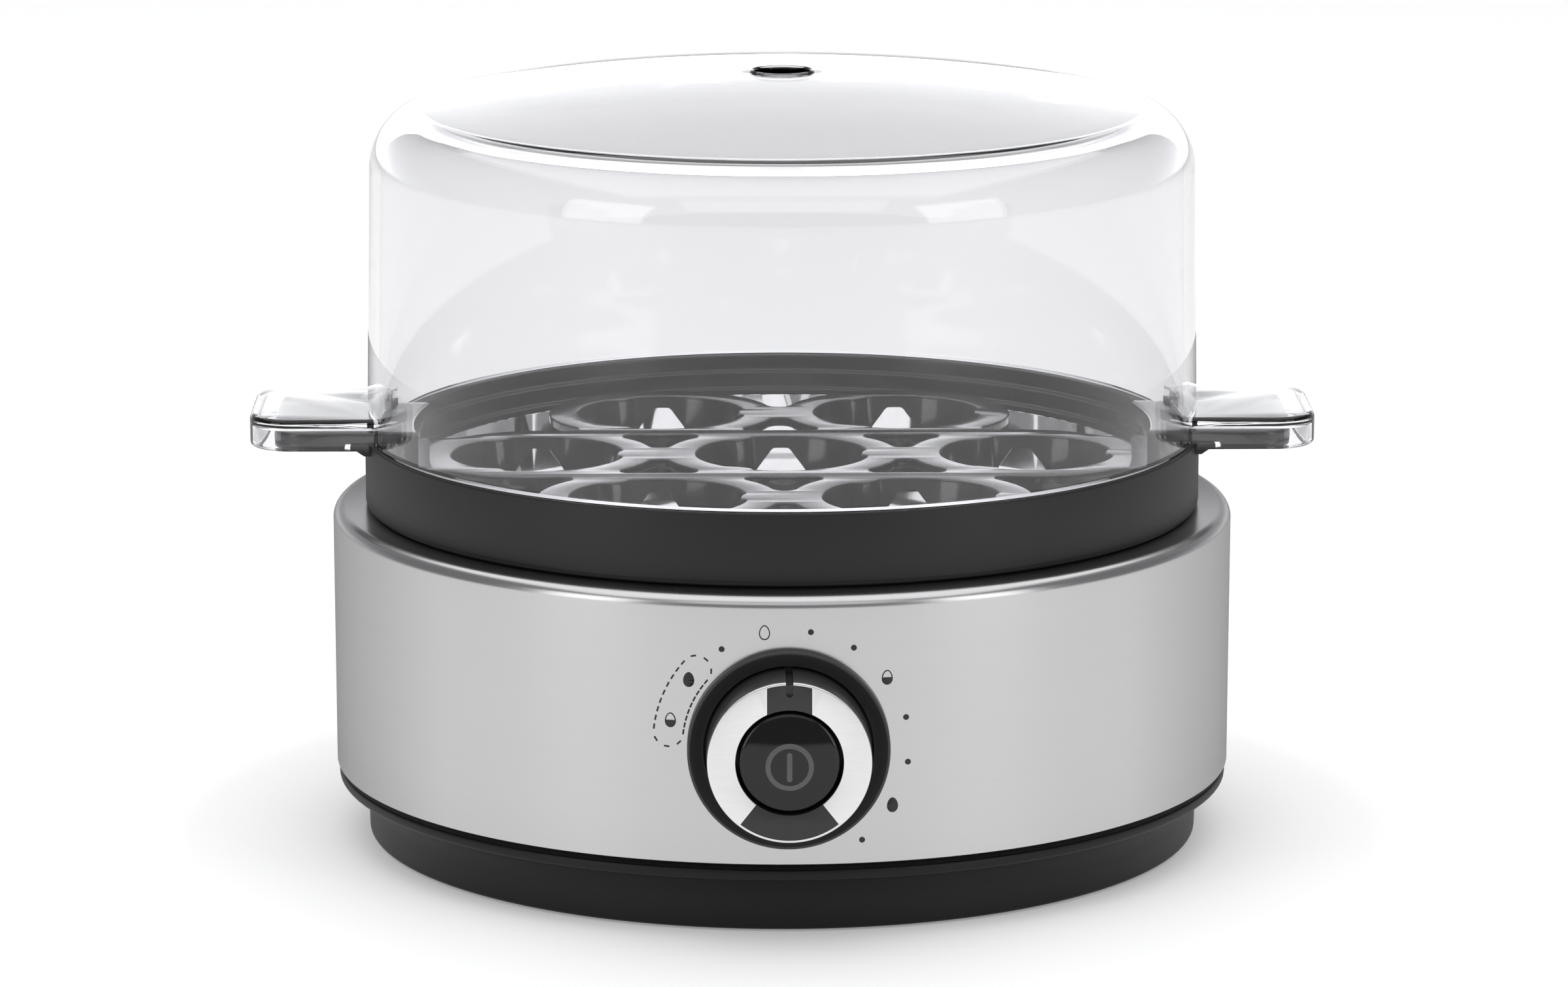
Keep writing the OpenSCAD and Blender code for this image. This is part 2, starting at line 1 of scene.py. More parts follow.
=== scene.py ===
import json
import math
import bmesh
import bpy
import numpy as np
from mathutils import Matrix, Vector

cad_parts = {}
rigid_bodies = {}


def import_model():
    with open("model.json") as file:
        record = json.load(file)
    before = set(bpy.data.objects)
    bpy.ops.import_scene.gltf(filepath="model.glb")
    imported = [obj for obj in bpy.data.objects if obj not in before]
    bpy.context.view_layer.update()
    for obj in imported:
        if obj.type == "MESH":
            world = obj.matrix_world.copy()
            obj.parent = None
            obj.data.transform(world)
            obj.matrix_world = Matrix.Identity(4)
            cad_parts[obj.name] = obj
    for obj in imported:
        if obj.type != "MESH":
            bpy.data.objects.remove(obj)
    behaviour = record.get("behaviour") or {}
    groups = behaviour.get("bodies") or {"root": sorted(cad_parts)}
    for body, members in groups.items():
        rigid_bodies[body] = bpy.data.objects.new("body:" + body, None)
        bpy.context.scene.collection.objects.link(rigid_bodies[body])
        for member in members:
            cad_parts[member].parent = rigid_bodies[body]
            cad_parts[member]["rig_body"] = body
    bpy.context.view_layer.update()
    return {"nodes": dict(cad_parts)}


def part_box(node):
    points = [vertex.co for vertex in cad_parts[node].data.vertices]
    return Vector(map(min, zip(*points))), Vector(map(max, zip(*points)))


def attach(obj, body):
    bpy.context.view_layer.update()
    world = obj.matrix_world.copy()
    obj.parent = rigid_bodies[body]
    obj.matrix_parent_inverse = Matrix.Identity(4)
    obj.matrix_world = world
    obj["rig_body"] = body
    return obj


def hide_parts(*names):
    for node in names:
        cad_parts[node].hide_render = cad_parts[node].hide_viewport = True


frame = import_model()
print("frame loaded:", len(frame["nodes"]), "nodes")

mm = 0.001


class Wire:
    # a socket that takes part in arithmetic: each operator adds one Math node
    def __init__(self, finish, socket):
        self.finish = finish
        self.socket = socket

    def maths(self, operation, other, swapped=False):
        first, second = (other, self) if swapped else (self, other)
        return self.finish.node("ShaderNodeMath", {"operation": operation}, {0: first, 1: second})

    def __add__(self, other):
        return self.maths("ADD", other)

    def __radd__(self, other):
        return self.maths("ADD", other, swapped=True)

    def __sub__(self, other):
        return self.maths("SUBTRACT", other)

    def __rsub__(self, other):
        return self.maths("SUBTRACT", other, swapped=True)

    def __mul__(self, other):
        return self.maths("MULTIPLY", other)

    def __rmul__(self, other):
        return self.maths("MULTIPLY", other, swapped=True)

    def __pow__(self, other):
        return self.maths("POWER", other)


class Finish:
    # one material: node() adds any node and gives one of its outputs back as a Wire
    def __init__(self, name, tree=None):
        if tree is None:
            self.material = bpy.data.materials.new(name)
            self.material.use_nodes = True
            tree = self.material.node_tree
        self.tree = tree
        self.tree.nodes.clear()
        self.place = self.node("ShaderNodeTexCoord", output="Object")

    def node(self, kind, settings=None, inputs=None, output=0):
        made = self.tree.nodes.new(kind)
        for key, value in (settings or {}).items():
            if key == "stops":
                for i, (where, grey) in enumerate(value):
                    stop = made.color_ramp.elements[i] if i < 2 else made.color_ramp.elements.new(where)
                    stop.position = where
                    stop.color = (grey, grey, grey, 1.0)
            else:
                setattr(made, key, value)
        for key, value in (inputs or {}).items():
            if isinstance(value, Wire):
                self.tree.links.new(value.socket, made.inputs[key])
            else:
                made.inputs[key].default_value = value
        return None if output is None else Wire(self, made.outputs[output])

    def axes(self, place):
        # the X, Y and Z parts of a place
        split = self.node("ShaderNodeSeparateXYZ", None, {0: place}).socket.node
        return [Wire(self, part) for part in split.outputs]

    def noise(self, scale, stretch=(1, 1, 1), detail=3.0, rough=0.5):
        at = self.node("ShaderNodeMapping", None, {"Vector": self.place, "Scale": stretch})
        return self.node("ShaderNodeTexNoise", None,
                         {"Vector": at, "Scale": scale, "Detail": detail, "Roughness": rough})

    def mixColour(self, factor, first, second):
        return self.node("ShaderNodeMix", {"data_type": "RGBA"},
                         {0: factor, 6: (*first, 1.0), 7: (*second, 1.0)}, output=2)

    def bump(self, height, strength, distance):
        return self.node("ShaderNodeBump", None,
                         {"Height": height, "Strength": strength, "Distance": distance})

    def done(self, shader):
        self.node("ShaderNodeOutputMaterial", None, {"Surface": shader}, output=None)
        return self.material


def metal(name, dark, light, rough, grain=None, grainBump=0.05, vary=0.08):
    # two greys blended by a grain; the grain also lifts the roughness and a fine bump
    f = Finish(name)
    lines = f.noise(1.0, grain, 4.0, 0.65) if grain else f.noise(900, detail=4.0)
    clouds = f.noise(28, detail=2.0)
    colour = f.mixColour(lines * 0.75 + clouds * 0.25, dark, light)
    return f.done(f.node("ShaderNodeBsdfPrincipled", None, {
        "Base Color": colour,
        "Metallic": 1.0,
        "Roughness": (lines - 0.5) * vary + (clouds - 0.5) * 0.05 + rough,
        "Normal": f.bump(lines, grainBump, 0.0003)}))


def plastic(name, colour, rough, grainScale=1400, grainBump=0.08, coat=0.0, vary=0.08, level=0.5):
    # moulded plastic: faint clouding of the colour, uneven roughness and a fine leather-like bump
    f = Finish(name)
    fine = f.noise(grainScale, detail=2.0)
    clouds = f.noise(35, detail=3.0)
    lighter = tuple(c * 1.18 + 0.002 for c in colour)
    return f.done(f.node("ShaderNodeBsdfPrincipled", None, {
        "Base Color": f.mixColour(clouds, colour, lighter),
        "Roughness": (clouds - 0.5) * vary + (fine - 0.5) * 0.04 + rough,
        "Specular IOR Level": level,
        "Coat Weight": coat,
        "Coat Roughness": 0.06,
        "Normal": f.bump(fine, grainBump, 0.0002)}))


def ringFinish(name, colour, outside, inside, edge):
    # as plastic, with the wall inside the given radius left glossy by the mould
    f = Finish(name)
    fine = f.noise(1400, detail=2.0)
    clouds = f.noise(35, detail=3.0)
    x, y, _ = f.axes(f.place)
    outer = (x * x + y * y).maths("GREATER_THAN", edge * edge)
    return f.done(f.node("ShaderNodeBsdfPrincipled", None, {
        "Base Color": f.mixColour(clouds, colour, tuple(c * 1.2 for c in colour)),
        "Roughness": outer * (outside - inside) + (clouds - 0.5) * 0.06 + inside,
        "Specular IOR Level": 0.4,
        "Normal": f.bump(fine, 0.05, 0.0002)}))


def clearPlastic(name, tint, rough, ior):
    # clear moulded plastic: refracts, shows faint flow marks, and lets the lamps' light through
    f = Finish(name)
    flow = f.noise(30, (1, 1, 0.4), 2.0)
    haze = f.noise(260, detail=2.0)
    body = f.node("ShaderNodeBsdfPrincipled", None, {
        "Base Color": (*tint, 1.0),
        "Roughness": haze * 0.02 + rough,
        "IOR": ior,
        "Transmission Weight": 1.0,
        "Normal": f.bump(flow, 0.02, 0.002)})
    thru = f.node("ShaderNodeBsdfTransparent", None, {"Color": (0.93, 0.93, 0.94, 1.0)})
    shade = f.node("ShaderNodeLightPath", output="Is Shadow Ray")
    return f.done(f.node("ShaderNodeMixShader", None, {0: shade, 1: body, 2: thru}))


finishes = {
    "brushedSteel": metal("brushedSteel", (0.49, 0.49, 0.494), (0.56, 0.56, 0.564), 0.24, (7, 7, 5200),
                          0.03, 0.05),
    "polishedSteel": metal("polishedSteel", (0.68, 0.68, 0.69),
                           (0.82, 0.82, 0.82), 0.12, (400, 400, 400), 0.02),
    "trimSteel": metal("trimSteel", (0.7, 0.7, 0.7), (0.84, 0.84, 0.84), 0.3, (300, 300, 2200), 0.04),
    "zincSteel": metal("zincSteel", (0.42, 0.42, 0.43), (0.66, 0.66, 0.68), 0.34, (700, 700, 700), 0.1),
    "castAluminium": metal("castAluminium", (0.5, 0.5, 0.51),
                           (0.66, 0.66, 0.67), 0.42, (900, 900, 900), 0.25),
    "elementSheath": metal("elementSheath", (0.12, 0.1, 0.09),
                           (0.3, 0.28, 0.27), 0.5, (500, 500, 500), 0.15),
    "ringPlastic": ringFinish("ringPlastic", (0.007, 0.007, 0.0072), 0.44, 0.16, 0.0848),
    "basePlastic": plastic("basePlastic", (0.004, 0.004, 0.0041), 0.4, 1100, 0.1, level=0.25),
    "trayPlastic": plastic("trayPlastic", (0.013, 0.013, 0.0135), 0.13, 90, 0.05, 0.4, 0.03),
    "dialPlastic": plastic("dialPlastic", (0.022, 0.022, 0.022), 0.38, 1800, 0.08),
    "buttonPlastic": plastic("buttonPlastic", (0.004, 0.004, 0.0042), 0.08, 120, 0.02, 0.0, 0.02, 0.4),
    "inlayPlastic": plastic("inlayPlastic", (0.013, 0.013, 0.013), 0.3, 1200, 0.04),
    "symbolInk": plastic("symbolInk", (0.075, 0.075, 0.075), 0.5, 2000, 0.05),
    "scaleInk": plastic("scaleInk", (0.012, 0.012, 0.012), 0.5, 2400, 0.05),
    "silicone": plastic("silicone", (0.02, 0.02, 0.02), 0.7, 900, 0.2),
    "whitePlastic": plastic("whitePlastic", (0.62, 0.6, 0.55), 0.45, 900, 0.1),
    "phenolic": plastic("phenolic", (0.045, 0.028, 0.02), 0.5, 500, 0.25),
    "ceramicWhite": plastic("ceramicWhite", (0.7, 0.69, 0.65), 0.6, 600, 0.2),
    "boardGreen": plastic("boardGreen", (0.01, 0.09, 0.035), 0.3, 300, 0.1, 0.3),
    "potBlue": plastic("potBlue", (0.02, 0.04, 0.12), 0.45),
    "wireSleeve": plastic("wireSleeve", (0.3, 0.02, 0.015), 0.55, 800, 0.1),
    "clearLid": clearPlastic("clearLid", (0.9, 0.9, 0.912), 0.0, 1.47),
}
print("finishes made:", len(finishes))


def gridFaces(rows, columns, wrapRows=True, wrapColumns=True):
    # quads between neighbouring points of a rows by columns grid
    i = np.arange(rows if wrapRows else rows - 1)
    j = np.arange(columns if wrapColumns else columns - 1)
    a, b = np.meshgrid(i, j, indexing="ij")
    c, d = (a + 1) % rows, (b + 1) % columns
    return np.stack([a * columns + b, a * columns + d, c * columns + d, c * columns + b], -1).reshape(-1, 4)


def meshFrom(name, points, faces, sharp=32, merge=2e-6):
    # closed smooth mesh: doubles merged, faces turned outwards, edges past the sharp angle kept crisp
    mesh = bpy.data.meshes.new(name)
    mesh.from_pydata(np.asarray(points, float).tolist(), [], [list(face) for face in faces])
    return tidyMesh(mesh, sharp, merge)


def tidyMesh(mesh, sharp=32, merge=2e-6, turn=True):
    b = bmesh.new()
    b.from_mesh(mesh)
    bmesh.ops.remove_doubles(b, verts=b.verts, dist=merge)
    bmesh.ops.dissolve_degenerate(b, edges=b.edges, dist=merge * 0.5)
    if turn:
        bmesh.ops.recalc_face_normals(b, faces=b.faces)
    b.to_mesh(mesh)
    b.free()
    mesh.shade_smooth()
    mesh.set_sharp_from_angle(angle=math.radians(sharp))
    return mesh


def place(name, mesh, finish, body, slot, replaced=()):
    piece = bpy.data.objects.new(name, mesh)
    bpy.context.scene.collection.objects.link(piece)
    mesh.materials.clear()
    mesh.materials.append(finishes[finish])
    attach(piece, body)
    if replaced:
        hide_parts(*replaced)
    return piece


def arcLine(cx, cz, r, start, end, count):
    # points on a circle's arc, angles in degrees
    t = np.radians(np.linspace(start, end, count))
    return np.stack([cx + r * np.cos(t), cz + r * np.sin(t)], 1)


def line(*parts):
    return np.concatenate([np.atleast_2d(np.asarray(part, float)) for part in parts])


def revolve(profile, segments=256):
    # a closed profile (radius, height) in millimetres turned about Z
    t = np.linspace(0, 2 * math.pi, segments, endpoint=False)
    r, z = profile[:, :1], profile[:, 1:]
    points = np.stack([r * np.cos(t), r * np.sin(t), z + 0 * t], -1).reshape(-1, 3)
    return points * mm, gridFaces(len(profile), segments)


def toFront(points, axisZ):
    # turns a shape built about +Z so that +Z points out of the front, at the dial's height
    p = np.asarray(points)
    return np.stack([p[:, 0], -p[:, 2], p[:, 1] + axisZ], 1)


def joined(*parts):
    # several closed surfaces as one list of points and faces
    points, faces, count = [], [], 0
    for p, f in parts:
        points.append(np.asarray(p))
        faces += [[int(v) + count for v in face] for face in f]
        count += len(p)
    return np.concatenate(points), faces


def flatSolid(outlines, low, high, bevel, steps=3):
    # a flat outline with holes, raised from low to high with rounded edges; millimetres in, metres out
    curve = bpy.data.curves.new("outline", "CURVE")
    curve.dimensions = "2D"
    curve.fill_mode = "BOTH"
    curve.extrude = (high - low) / 2 - bevel
    curve.bevel_depth = bevel
    curve.bevel_resolution = steps
    curve.offset = -bevel
    for outline in outlines:
        spline = curve.splines.new("POLY")
        spline.points.add(len(outline) - 1)
        four = np.zeros((len(outline), 4))
        four[:, :2] = outline
        four[:, 3] = 1
        spline.points.foreach_set("co", four.ravel())
        spline.use_cyclic_u = True
    carrier = bpy.data.objects.new("outline", curve)
    bpy.context.scene.collection.objects.link(carrier)
    flat = bpy.data.meshes.new_from_object(carrier.evaluated_get(bpy.context.evaluated_depsgraph_get()))
    points = np.zeros(len(flat.vertices) * 3)
    flat.vertices.foreach_get("co", points)
    points = points.reshape(-1, 3)
    points[:, 2] += (low + high) / 2
    faces = [list(face.vertices) for face in flat.polygons]
    bpy.data.objects.remove(carrier)
    bpy.data.curves.remove(curve)
    bpy.data.meshes.remove(flat)
    return points * mm, faces


def carve(mesh, steps, sharp=32):
    # cuts, adds or keeps closed meshes one after another, then smooths the result
    work = bpy.data.objects.new("work", mesh)
    bpy.context.scene.collection.objects.link(work)
    tools = []
    for operation, (points, faces) in steps:
        tool = bpy.data.objects.new("tool", meshFrom("tool", points, faces))
        bpy.context.scene.collection.objects.link(tool)
        tools.append(tool)
        cut = work.modifiers.new("cut", "BOOLEAN")
        cut.operation = operation
        cut.solver = "EXACT"
        cut.object = tool
    result = bpy.data.meshes.new_from_object(work.evaluated_get(bpy.context.evaluated_depsgraph_get()))
    for spent in tools + [work]:
        bpy.data.objects.remove(spent)
    return tidyMesh(result, sharp, 1e-6, turn=False)


def cleanCopy(node, finish, slot, sharp=32):
    # a CAD node's own shape, merged and smoothed, with its finish
    mesh = frame["nodes"][node].data.copy()
    mesh.name = node + "Clean"
    body = frame["nodes"][node]["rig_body"]
    return place(node + "Piece", tidyMesh(mesh, sharp, 1e-6, turn=False), finish, body, slot, (node,))


def sizes(node):
    # a node's lowest and highest corner in millimetres
    low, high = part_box(node)
    return np.array(low) / mm, np.array(high) / mm


shellLow, shellHigh = sizes("steel_shell")
_, ringHigh = sizes("bowl_ring")
bezelLow, bezelHigh = sizes("dial_bezel")
dialLow, dialHigh = sizes("dial_body")
trimLow, _ = sizes("dial_trim")
capLow, capHigh = sizes("button_cap")
_, lidHigh = sizes("lid")
dialZ = (bezelLow[2] + bezelHigh[2]) / 2

shell = {"wall": 0.8, "draft": 0.15, "shoulder": 2.6, "mouth": 81.8, "hole": 18.0}


def steelShell():
    # a drafted wall, a rounded shoulder and a flat top; the hole for the dial is cut through
    r, top = shellHigh[0], shellHigh[2]
    s, w = shell["shoulder"], shell["wall"]
    low = r - shell["draft"]
    wallZ = np.linspace(shellLow[2] + 0.3, top - s, 12)
    wallR = low + (r - low) * (wallZ - shellLow[2]) / (top - s - shellLow[2])
    outer = line((low - 0.15, shellLow[2]), (low, shellLow[2] + 0.15), np.stack([wallR, wallZ], 1)[:-1],
                 arcLine(r - s, top - s, s, 0, 90, 24), (shell["mouth"] + 0.2, top),
                 (shell["mouth"], top - 0.2))
    inner = line((shell["mouth"], top - w), arcLine(r - s, top - s, s - w, 90, 0, 8), (low - w, shellLow[2]))
    points, faces = revolve(line(outer, inner), 320)
    hole = revolve(line((0, 70), (shell["hole"], 70), (shell["hole"], 120), (0, 120)), 96)
    cutter = (toFront(hole[0], dialZ * mm), hole[1])
    mesh = carve(meshFrom("steelShell", points, faces), [("DIFFERENCE", cutter)])
    place("steelShell", mesh, "brushedSteel", "root", "brushed_steel", ("steel_shell",))


ring = {"round": 1.6, "topRound": 0.5, "ledges": ((82.5, 81.2), (80.6, 77.7)), "bowl": 79.0, "skirt": 81.4,
        "lip": 73.4, "tabHalf": 16.8, "tabReach": 89.0}


def bowlRing():
    # the black wall with its two ledges inside, the lip under the heating plate, two tabs and three posts
    r, top, foot = 86.7, ringHigh[2], shellHigh[2]
    k, t = ring["round"], ring["topRound"]
    (ledgeA, za), (ledgeB, zb) = ring["ledges"]
    profile = line(arcLine(r - k, foot + k, k, -90, 0, 12), arcLine(r - t, top - t, t, 0, 90, 6),
                   arcLine(ledgeA + 0.5, top - 0.5, 0.5, 90, 180, 5), (ledgeA, za + 0.3), (ledgeA - 0.3, za),
                   (ledgeB + 0.3, za), (ledgeB, za - 0.3), (ledgeB, zb + 0.3), (ledgeB - 0.3, zb),
                   (ring["bowl"] + 0.3, zb), (ring["bowl"], zb - 0.3), (ring["bowl"], 62), (ring["lip"], 62),
                   (ring["lip"], 60.5), (79.2, 60.5), (79.2, 58), (ring["skirt"], 58), (ring["skirt"], foot))
    parts = [revolve(profile, 320)]
    half, reach = ring["tabHalf"], ring["tabReach"]
    tab = np.array([(84.3, top), (reach - 0.3, top), (reach, top - 0.3), (reach, top - 0.7),
                    (86.2, top - 2.6),
                    (84.3, top - 2.6)])
    for side in (1, -1):
        across = np.array([-half, half])
        points = np.stack([np.repeat(tab[:, 0], 2) * side, np.tile(across, 6), np.repeat(tab[:, 1], 2)], 1)
        ends = [list(range(0, 12, 2)), list(range(1, 12, 2))]
        parts.append((points * mm, gridFaces(6, 2, True, False).tolist() + ends))
    for turn in (90, 210, 330):
        post = revolve(line((0, 17), (4, 17), (4, 61), (0, 61)), 40)
        shift = np.array([math.cos(math.radians(turn)), math.sin(math.radians(turn)), 0]) * 76.6 * mm
        parts.append((post[0] + shift, post[1]))
    points, faces = joined(*parts)
    place("bowlRing", meshFrom("bowlRing", points, faces), "ringPlastic", "root", "black_plastic",
          ("bowl_ring",))


lidShape = {"wall": 2.4, "cornerRound": 13.0, "cornerZ": 140.0, "crown": 159.2, "topR": 85.2, "footR": 86.2,
            "vent": 5.8, "earHalf": 19.0, "earTop": 90.0, "earLow": 83.3, "earRound": 9.0, "earWall": 1.8}


def roundedTab(start, reach, half, corner, side=1, count=14):
    # a tab that runs along X with two rounded outer corners
    path = line((start, -half), arcLine(reach - corner, -half + corner, corner, -90, 0, count),
                arcLine(reach - corner, half - corner, corner, 0, 90, count), (start, half))
    return path * np.array([side, 1])


def clearLid():
    # a turned wall with a rounded corner, a crown that continues it and a vent; two hollow ears are added
    s = lidShape
    a, h, c = s["topR"] - s["cornerRound"], s["crown"] - s["cornerZ"], s["cornerRound"]
    domeR = (a * a + h * h - c * c) / (2 * (h - c))
    tilt = math.degrees(math.atan2(a, domeR - h))
    foot = ringHigh[2]

    def section(inset):
        toVent = 90 - math.degrees(math.asin((s["vent"] + 0.9) / domeR))
        wallZ = np.linspace(foot + 0.5, s["cornerZ"], 10)[:-1]
        wallR = s["footR"] - inset - (s["footR"] - s["topR"]) * (wallZ - foot) / (s["cornerZ"] - foot)
        return line(np.stack([wallR, wallZ], 1), arcLine(a, s["cornerZ"], c - inset, 0, 90 - tilt, 22),
                    arcLine(0, s["crown"] - domeR, domeR - inset, 90 - tilt, toVent, 24)[1:])

    rim = line((s["vent"] + 0.9, s["crown"] + 0.2), arcLine(s["vent"] + 0.5, s["crown"] + 0.0, 0.5, 90,
                                                            180, 5),
               (s["vent"], s["crown"] - s["wall"] + 0.3), (s["vent"] + 0.3, s["crown"] - s["wall"]))
    profile = line((s["footR"] - 0.4, foot), section(0), rim, section(s["wall"])[::-1],
                   (s["footR"] - s["wall"] + 0.4, foot))
    points, faces = revolve(profile, 288)
    ears, hollows = [], []
    for side in (1, -1):
        ears.append(flatSolid([roundedTab(83.0, lidHigh[0], s["earHalf"], s["earRound"], side)],
                              s["earLow"], s["earTop"], 1.0, 4))
        w = s["earWall"]
        hollows.append(flatSolid([roundedTab(60, lidHigh[0] - w, s["earHalf"] - w, s["earRound"] - w, side)],
                                 s["earLow"] - 4, s["earTop"] - 2, 0.6, 3))
    inside = revolve(line((0, 70), (83.7, 70), (83.7, 100), (0, 100)), 288)
    under = revolve(line((0, 70), (87.2, 70), (87.2, foot), (0, foot)), 288)
    earMesh = carve(meshFrom("ears", *joined(*ears)), [("DIFFERENCE", inside), ("DIFFERENCE", under)])
    earFaces = [list(f.vertices) for f in earMesh.polygons]
    earPoints = np.array([v.co for v in earMesh.vertices])
    mesh = carve(meshFrom("clearLid", points, faces),
                 [("UNION", (earPoints, earFaces)), ("DIFFERENCE", joined(*hollows))], 38)
    place("clearLid", mesh, "clearLid", "lid", "clear_plastic", ("lid",))


tray = {"top": 79.3, "hole": 18.1, "pitch": 51.0, "rim": 6.3, "fillet": 2.4, "web": 2.0, "cup": 14.0,
        "cupWall": 1.2,
        "cupTaper": 2.7, "grip": 16.7, "gripReach": 105.0, "gripThick": 2.4, "pleat": 1.4, "pleatHalf": 3.2,
        "archTop": 2.3, "bowl": 78.6, "riser": 76.5}
sixth = np.radians(np.arange(0, 360, 60))
spots = np.concatenate([[(0.0, 0.0)], tray["pitch"] * np.stack([np.cos(sixth), np.sin(sixth)], 1)])


def pleats(angle, radius):
    # how far the three grips bulge inwards: a smooth bump at 0, 120 and 240 degrees
    nearest = (angle + 60) % 120 - 60
    across = np.abs(np.radians(nearest)) * radius / tray["pleatHalf"]
    return tray["pleat"] * np.clip(1 - across ** 2.6, 0, 1) ** 0.8


def holeOutline(grow=0.0, count=240):
    t = np.linspace(0, 360, count, endpoint=False)
    r = tray["hole"] + grow - pleats(t, tray["hole"])
    return np.stack([r * np.cos(np.radians(t)), r * np.sin(np.radians(t))], 1)


def neckFillet(a, b, side):
    # centre of the small circle that rounds the notch between two rims, and which way it lies
    middle, along = (a + b) / 2, (b - a) / np.linalg.norm(b - a)
    out = np.array([-along[1], along[0]]) * side
    reach = tray["hole"] + tray["rim"] + tray["fillet"]
    return middle + out * math.sqrt(reach ** 2 - (np.linalg.norm(b - a) / 2) ** 2)


def arcBetween(centre, start, end, radius, turn, count=16):
    # the arc from start's direction to end's direction about a centre, turning the given way
    a0 = math.atan2(*(start - centre)[::-1])
    a1 = math.atan2(*(end - centre)[::-1])
    if turn > 0 and a1 < a0:
        a1 += 2 * math.pi
    if turn < 0 and a1 > a0:
        a1 -= 2 * math.pi
    t = np.linspace(a0, a1, count)
    return centre + radius * np.stack([np.cos(t), np.sin(t)], 1)


def trayWeb():
    # outline: six rims joined by small fillets, with an arm on each side; holes: seven eggs and six gaps
    rim, f, grip = tray["hole"] + tray["rim"], tray["fillet"], tray["grip"]
    around = spots[1:]
    outline = []
    for i in range(6):
        here, before, after = around[i], around[i - 1], around[(i + 1) % 6]
        enter = neckFillet(before, here, -1)
        leave = neckFillet(here, after, -1)
        if i in (0, 3):
            side = 1 if i == 0 else -1
            k = 5.0
            across = math.sqrt((rim + k) ** 2 - (grip + k) ** 2)
            lowF = here + np.array([side * across, -side * (grip + k)])
            highF = here + np.array([side * across, side * (grip + k)])
            edge = math.sqrt(tray["bowl"] ** 2 - grip ** 2)
            outline += [arcBetween(here, enter, lowF, rim, 1),
                        arcBetween(lowF, here, lowF + np.array([0, side]), k, -1, 10),
                        arcBetween(np.zeros(2), side * np.array([edge, -grip]),
                                   side * np.array([edge, grip]),
                                   tray["bowl"], 1, 14),
                        arcBetween(highF, highF - np.array([0, side]), here, k, -1, 10),
                        arcBetween(here, highF, leave, rim, 1)]
        else:
            outline.append(arcBetween(here, enter, leave, rim, 1, 28))
        outline.append(arcBetween(leave, here, after, f, -1, 8)[1:-1])
    holes = [holeOutline() + spot for spot in spots]
    for i in range(6):
        corners = [spots[0], around[i], around[(i + 1) % 6]]
        gap = []
        for j in range(3):
            here, after, before = corners[j], corners[(j + 1) % 3], corners[j - 1]
            enter, leave = neckFillet(before, here, 1), neckFillet(here, after, 1)
            gap += [arcBetween(here, enter, leave, rim, -1, 14),
                    arcBetween(leave, here, after, f, 1, 8)[1:-1]]
        holes.append(np.concatenate(gap))
    top = tray["top"]
    return flatSolid([np.concatenate(outline)] + holes, top - tray["web"], top, 0.35, 3)


def archHeight(across):
    # depth of the bell-shaped cut-out's edge below its crown, at a distance from its middle
    d = np.linspace(0, 10, 60)
    half = 1.75 + 6.05 * np.sin(np.radians(9 * d)) ** 1.2
    return np.interp(np.abs(across), half, d, left=0.0, right=99.0)


def trayCup(spot):
    # a tapering skirt: its lower edge rises into three arches, and three grips bulge inwards
    s = tray
    top = tray["top"]
    t = np.linspace(0, 360, 480, endpoint=False)
    away = np.abs((t - 90 + 60) % 120 - 60)
    across = np.radians(away) * (s["hole"] - 0.8)
    low = np.maximum(top - s["cup"], top - s["archTop"] - archHeight(across))
    low = np.convolve(np.tile(low, 3), np.ones(5) / 5, "same")[480:960]
    # the skirt is straight from top to edge: rows close to both ends keep its shading even
    endRow = 1 / 17
    down = np.array([0, endRow, 0.35, 0.65, 1 - endRow, 1])[:, None]
    start = top - 0.5
    z = start + (low - start) * down
    inner = s["hole"] - (top - z) / s["cup"] * s["cupTaper"]
    rIn = inner - pleats(t, s["hole"]) + 0.04
    rOut = inner + s["cupWall"] + 0 * t
    lip = low[None, :]
    mid = (rIn[-1:] + rOut[-1:]) / 2
    r = np.concatenate([rIn, mid + (rIn[-1:] - mid) * 0.55, mid + (rOut[-1:] - mid) * 0.55, rOut[::-1]])
    zAll = np.concatenate([z, lip - 0.3, lip - 0.3, z[::-1]])
    a = np.radians(t)
    points = np.stack([spot[0] + r * np.cos(a), spot[1] + r * np.sin(a), zAll], -1).reshape(-1, 3)
    return points * mm, gridFaces(len(r), 480)


def trayHandle(side):
    # the riser inside the bowl, the plate over its rim, and the rim that hangs round the plate
    s = tray
    seat, grip, reach = ringHigh[2], s["grip"], s["gripReach"]
    half = math.degrees(math.asin(grip / s["bowl"]))
    innerHalf = math.degrees(math.asin(grip / s["riser"]))
    turn = np.array([side, 1])
    riser = line(arcLine(0, 0, s["bowl"], -half, half, 16),
                 arcLine(0, 0, s["riser"], innerHalf, -innerHalf, 16))
    tab = roundedTab(90, reach, grip, 7)
    edge = line(arcLine(0, 0, s["riser"], innerHalf, -innerHalf, 16),
                arcLine(reach - 7, -grip + 7, 7, -90, 0, 14), arcLine(reach - 7, grip - 7, 7, 0, 90, 14))
    hang = roundedTab(90.2, reach - 0.05, grip - 0.05, 6.95)
    hollow = roundedTab(92, reach - 1.8, grip - 1.8, 5.2)
    return [flatSolid([riser * turn], s["top"] - s["web"] + 0.1, seat + 1.9, 0.35),
            flatSolid([edge * turn], seat + 0.02, seat + s["gripThick"], 0.6, 4),
            flatSolid([hang * turn, hollow * turn], seat - 1.1, seat + 1.2, 0.4)]


